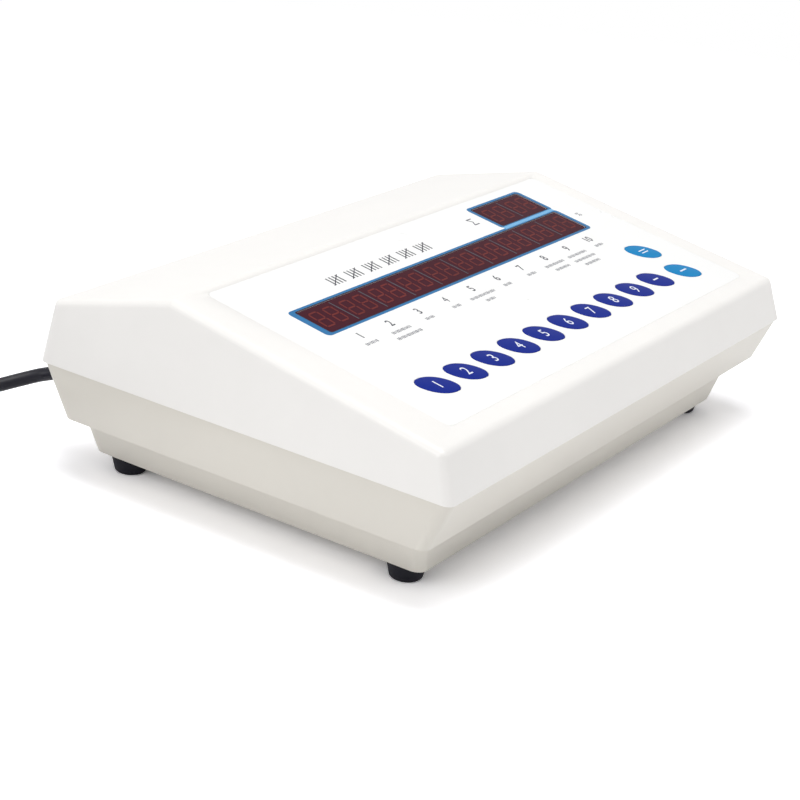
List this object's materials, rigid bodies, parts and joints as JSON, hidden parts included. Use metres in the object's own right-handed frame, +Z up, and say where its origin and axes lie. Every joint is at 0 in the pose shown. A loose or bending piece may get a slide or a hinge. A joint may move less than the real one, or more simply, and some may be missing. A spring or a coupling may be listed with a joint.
{
  "type": "differential cell counter",
  "caption": "Sloped bench console for tallying cell types: a row of tally keys, function keys, digit windows, rubber feet and a captive mains cord.",
  "frame": {"origin": "on the table, under the middle of the case", "axes": "+X along the keys to the user's right, +Y to the rear, +Z up"},
  "size_m": [0.5105, 0.3434, 0.1111],
  "materials": {
    "cover_plastic": "satin",
    "base_plastic": "satin",
    "overlay_film": "gloss",
    "circuit_film": "matte",
    "contact_steel": "polished",
    "red_filter": "gloss",
    "dark_blue_key": "gloss",
    "light_blue_key": "gloss",
    "circuit_board": "satin",
    "component_black": "matte",
    "digit_face": "matte",
    "screw_steel": "zinc plated",
    "black_aluminium": "anodised",
    "capacitor_sleeve": "gloss",
    "ribbon_grey": "satin",
    "tail_film": "gloss",
    "core_steel": "varnished",
    "winding_tape": "satin",
    "bracket_steel": "satin",
    "switch_plastic": "satin",
    "foot_rubber": "matte",
    "cord_rubber": "satin",
    "pin_metal": "plated"
  },
  "bodies": {
    "console": {"top_cover": "cover_plastic", "base_tub": "base_plastic", "overlay": "overlay_film", "membrane_circuit": "circuit_film", "dome_contacts": "contact_steel", "count_filter": "red_filter", "total_filter": "red_filter", "display_board": "circuit_board", "count_digits": "digit_face", "total_digits": "digit_face", "display_screws": "screw_steel", "main_board": "circuit_board", "main_board_screws": "screw_steel", "controller_chip": "component_black", "driver_chips": "component_black", "regulator": "component_black", "heat_sink": "black_aluminium", "filter_capacitor": "capacitor_sleeve", "buzzer": "component_black", "board_headers": "component_black", "ribbon_cable": "ribbon_grey", "ribbon_sockets": "component_black", "keypad_tail": "tail_film", "transformer_core": "core_steel", "transformer_winding": "winding_tape", "transformer_bracket": "bracket_steel", "transformer_screws": "screw_steel", "switch_housing": "switch_plastic", "fuse_holder": "switch_plastic", "fuse_nut": "switch_plastic", "rubber_feet": "foot_rubber", "case_screws": "screw_steel", "strain_relief": "cord_rubber", "cord_run": "cord_rubber", "cord_coil": "cord_rubber", "coil_tie": "switch_plastic", "mains_plug": "cord_rubber", "plug_pins": "pin_metal"},
    "tally_key_1": {"key_1": "dark_blue_key"},
    "tally_key_2": {"key_2": "dark_blue_key"},
    "tally_key_3": {"key_3": "dark_blue_key"},
    "tally_key_4": {"key_4": "dark_blue_key"},
    "tally_key_5": {"key_5": "dark_blue_key"},
    "tally_key_6": {"key_6": "dark_blue_key"},
    "tally_key_7": {"key_7": "dark_blue_key"},
    "tally_key_8": {"key_8": "dark_blue_key"},
    "tally_key_9": {"key_9": "dark_blue_key"},
    "tally_key_10": {"key_10": "dark_blue_key"},
    "front_function_key": {"function_key_front": "light_blue_key"},
    "rear_function_key": {"function_key_rear": "light_blue_key"},
    "switch_rocker": {"power_rocker": "switch_plastic"},
    "fuse_holder_cap": {"fuse_cap": "switch_plastic"}
  },
  "joints": [
    {"name": "key_1_press", "type": "slide", "parent": "console", "child": "tally_key_1", "axis": [0, 0.1746, -0.9846], "range_m": [0, 0.0004], "stiffness_N_per_m": 800, "springref_m": -0.002},
    {"name": "key_2_press", "type": "slide", "parent": "console", "child": "tally_key_2", "axis": [0, 0.1746, -0.9846], "range_m": [0, 0.0004], "stiffness_N_per_m": 800, "springref_m": -0.002},
    {"name": "key_3_press", "type": "slide", "parent": "console", "child": "tally_key_3", "axis": [0, 0.1746, -0.9846], "range_m": [0, 0.0004], "stiffness_N_per_m": 800, "springref_m": -0.002},
    {"name": "key_4_press", "type": "slide", "parent": "console", "child": "tally_key_4", "axis": [0, 0.1746, -0.9846], "range_m": [0, 0.0004], "stiffness_N_per_m": 800, "springref_m": -0.002},
    {"name": "key_5_press", "type": "slide", "parent": "console", "child": "tally_key_5", "axis": [0, 0.1746, -0.9846], "range_m": [0, 0.0004], "stiffness_N_per_m": 800, "springref_m": -0.002},
    {"name": "key_6_press", "type": "slide", "parent": "console", "child": "tally_key_6", "axis": [0, 0.1746, -0.9846], "range_m": [0, 0.0004], "stiffness_N_per_m": 800, "springref_m": -0.002},
    {"name": "key_7_press", "type": "slide", "parent": "console", "child": "tally_key_7", "axis": [0, 0.1746, -0.9846], "range_m": [0, 0.0004], "stiffness_N_per_m": 800, "springref_m": -0.002},
    {"name": "key_8_press", "type": "slide", "parent": "console", "child": "tally_key_8", "axis": [0, 0.1746, -0.9846], "range_m": [0, 0.0004], "stiffness_N_per_m": 800, "springref_m": -0.002},
    {"name": "key_9_press", "type": "slide", "parent": "console", "child": "tally_key_9", "axis": [0, 0.1746, -0.9846], "range_m": [0, 0.0004], "stiffness_N_per_m": 800, "springref_m": -0.002},
    {"name": "key_10_press", "type": "slide", "parent": "console", "child": "tally_key_10", "axis": [0, 0.1746, -0.9846], "range_m": [0, 0.0004], "stiffness_N_per_m": 800, "springref_m": -0.002},
    {"name": "function_key_front_press", "type": "slide", "parent": "console", "child": "front_function_key", "axis": [0, 0.1746, -0.9846], "range_m": [0, 0.0004], "stiffness_N_per_m": 800, "springref_m": -0.002},
    {"name": "function_key_rear_press", "type": "slide", "parent": "console", "child": "rear_function_key", "axis": [0, 0.1746, -0.9846], "range_m": [0, 0.0004], "stiffness_N_per_m": 800, "springref_m": -0.002},
    {"name": "power_switch_rock", "type": "hinge", "parent": "console", "child": "switch_rocker", "pos_m": [0.118, 0.11276, 0.04726], "axis": [0, -0.5072, -0.8619], "range_deg": [0, 20]},
    {"name": "fuse_cap_turn", "type": "hinge", "parent": "console", "child": "fuse_holder_cap", "pos_m": [0.084, 0.11329, 0.04521], "axis": [0, 0.8619, -0.5072], "range_deg": [0, 60]}
  ]
}
